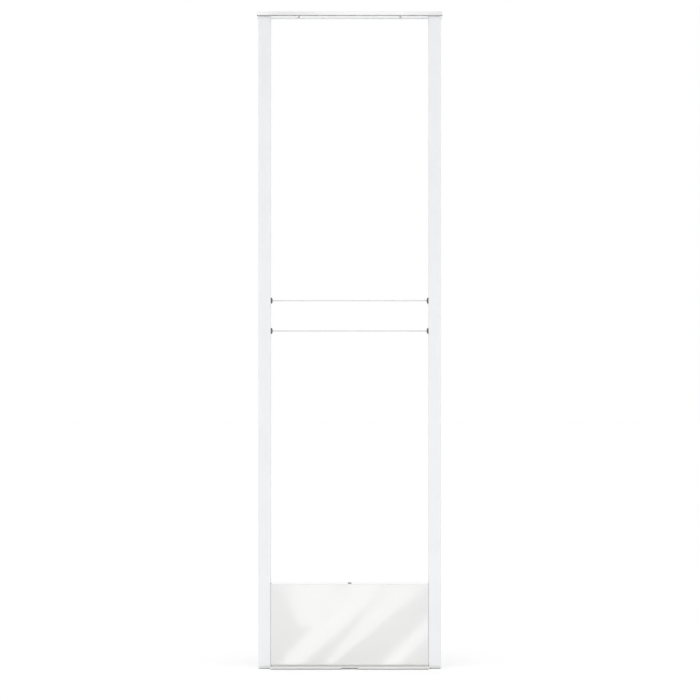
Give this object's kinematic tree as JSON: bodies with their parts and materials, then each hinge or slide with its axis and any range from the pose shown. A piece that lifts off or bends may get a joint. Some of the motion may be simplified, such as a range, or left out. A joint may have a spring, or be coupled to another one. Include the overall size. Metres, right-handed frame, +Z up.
{
  "type": "anti-theft gate antenna",
  "caption": "Slim open-frame anti-theft gate for a shop entrance: white posts, a flat top cap, thin crossbars and a glossy covered base that holds the electronics.",
  "frame": {"origin": "on the floor under the middle of the gate", "axes": "+X across the gate to the right as seen from the front, +Y through the gate to the rear, +Z up"},
  "size_m": [0.452, 0.086, 1.6],
  "materials": {
    "white_paint": "satin powder coat",
    "gloss_white": "high gloss moulded",
    "rail_aluminium": "satin anodised",
    "plate_steel": "brushed",
    "zinc_sheet": "zinc plated sheet",
    "dark_rubber": "matt",
    "fastener_steel": "zinc plated",
    "lock_brass": "nickel brass, dulled",
    "bar_tube": "smooth",
    "wire_sleeve": "smooth insulation",
    "lead_sleeve": "smooth insulation",
    "spacer_plastic": "matt",
    "board_green": "solder mask",
    "board_white": "solder mask",
    "light_yellow": "clear resin",
    "terminal_green": "moulded",
    "chip_black": "moulded",
    "black_anodised": "matt anodised",
    "capacitor_sleeve": "shrink sleeve",
    "coil_core": "enamelled winding",
    "dial_blue": "moulded",
    "rotor_brass": "machined",
    "switch_red": "moulded",
    "lever_white": "moulded",
    "module_black": "moulded"
  },
  "bodies": {
    "gate_frame": {"base_plate": "plate_steel", "base_seal": "dark_rubber", "post_left": "white_paint", "post_right": "white_paint", "post_base_screws": "fastener_steel", "top_rail": "rail_aluminium", "rail_screws": "fastener_steel", "top_cap": "gloss_white", "cap_screws": "fastener_steel", "crossbar_upper": "bar_tube", "crossbar_lower": "bar_tube", "crossbar_grommets": "dark_rubber", "wire_bushes": "dark_rubber", "wire_spacers": "spacer_plastic", "upper_loop_wire": "wire_sleeve", "lower_loop_wire": "wire_sleeve", "light_strip": "board_white", "alarm_lights": "light_yellow", "light_lead": "lead_sleeve", "cover_sill_front": "zinc_sheet", "cover_sill_rear": "zinc_sheet", "mounting_plate": "zinc_sheet", "mount_screws": "fastener_steel", "latch_bracket_front": "zinc_sheet", "latch_bracket_rear": "zinc_sheet", "bracket_rivets": "fastener_steel", "control_board": "board_green", "board_standoffs": "fastener_steel", "board_screws": "fastener_steel", "antenna_terminal_left": "terminal_green", "antenna_terminal_right": "terminal_green", "power_terminal": "terminal_green", "chips": "chip_black", "heat_sink": "black_anodised", "capacitors": "capacitor_sleeve", "coupling_coils": "coil_core", "sounder": "chip_black", "status_lights": "light_yellow", "dial_bodies": "dial_blue", "trimmer_base": "lever_white", "mode_switch_body": "switch_red", "power_module": "module_black", "power_lead": "lead_sleeve", "lead_bush": "dark_rubber"},
    "front_cover": {"front_cover": "gloss_white"},
    "rear_cover": {"rear_cover": "gloss_white"},
    "front_lock": {"front_cover_lock": "lock_brass"},
    "rear_lock": {"rear_cover_lock": "lock_brass"},
    "range_dial": {"range_dial": "rotor_brass"},
    "volume_dial": {"volume_dial": "rotor_brass"},
    "delay_dial": {"delay_dial": "rotor_brass"},
    "trimmer_rotor": {"trimmer_rotor": "rotor_brass"},
    "mode_lever_1": {"mode_lever_1": "lever_white"},
    "mode_lever_2": {"mode_lever_2": "lever_white"},
    "mode_lever_3": {"mode_lever_3": "lever_white"},
    "mode_lever_4": {"mode_lever_4": "lever_white"}
  },
  "joints": [
    {"name": "front_cover_pull", "type": "slide", "parent": "gate_frame", "child": "front_cover", "axis": [0, -1, 0], "range_m": [0, 0.15]},
    {"name": "rear_cover_pull", "type": "slide", "parent": "gate_frame", "child": "rear_cover", "axis": [0, 1, 0], "range_m": [0, 0.15]},
    {"name": "front_lock_turn", "type": "hinge", "parent": "front_cover", "child": "front_lock", "pos_m": [0, -0.017, 0.2], "axis": [0, 0, 1], "range_deg": [0, 90]},
    {"name": "rear_lock_turn", "type": "hinge", "parent": "rear_cover", "child": "rear_lock", "pos_m": [0, 0.017, 0.2], "axis": [0, 0, 1], "range_deg": [0, 90]},
    {"name": "range_dial_turn", "type": "hinge", "parent": "gate_frame", "child": "range_dial", "pos_m": [0.044, -0.00665, 0.143], "axis": [0, -1, 0], "range_deg": [-135, 135]},
    {"name": "volume_dial_turn", "type": "hinge", "parent": "gate_frame", "child": "volume_dial", "pos_m": [0.06, -0.00665, 0.143], "axis": [0, -1, 0], "range_deg": [-135, 135]},
    {"name": "delay_dial_turn", "type": "hinge", "parent": "gate_frame", "child": "delay_dial", "pos_m": [0.076, -0.00665, 0.143], "axis": [0, -1, 0], "range_deg": [-135, 135]},
    {"name": "trimmer_turn", "type": "hinge", "parent": "gate_frame", "child": "trimmer_rotor", "pos_m": [-0.04, -0.00665, 0.062], "axis": [0, -1, 0], "continuous": true},
    {"name": "mode_lever_1_slide", "type": "slide", "parent": "gate_frame", "child": "mode_lever_1", "axis": [0, 0, 1], "range_m": [0, 0.0028]},
    {"name": "mode_lever_2_slide", "type": "slide", "parent": "gate_frame", "child": "mode_lever_2", "axis": [0, 0, 1], "range_m": [0, 0.0028]},
    {"name": "mode_lever_3_slide", "type": "slide", "parent": "gate_frame", "child": "mode_lever_3", "axis": [0, 0, 1], "range_m": [0, 0.0028]},
    {"name": "mode_lever_4_slide", "type": "slide", "parent": "gate_frame", "child": "mode_lever_4", "axis": [0, 0, 1], "range_m": [0, 0.0028]}
  ]
}
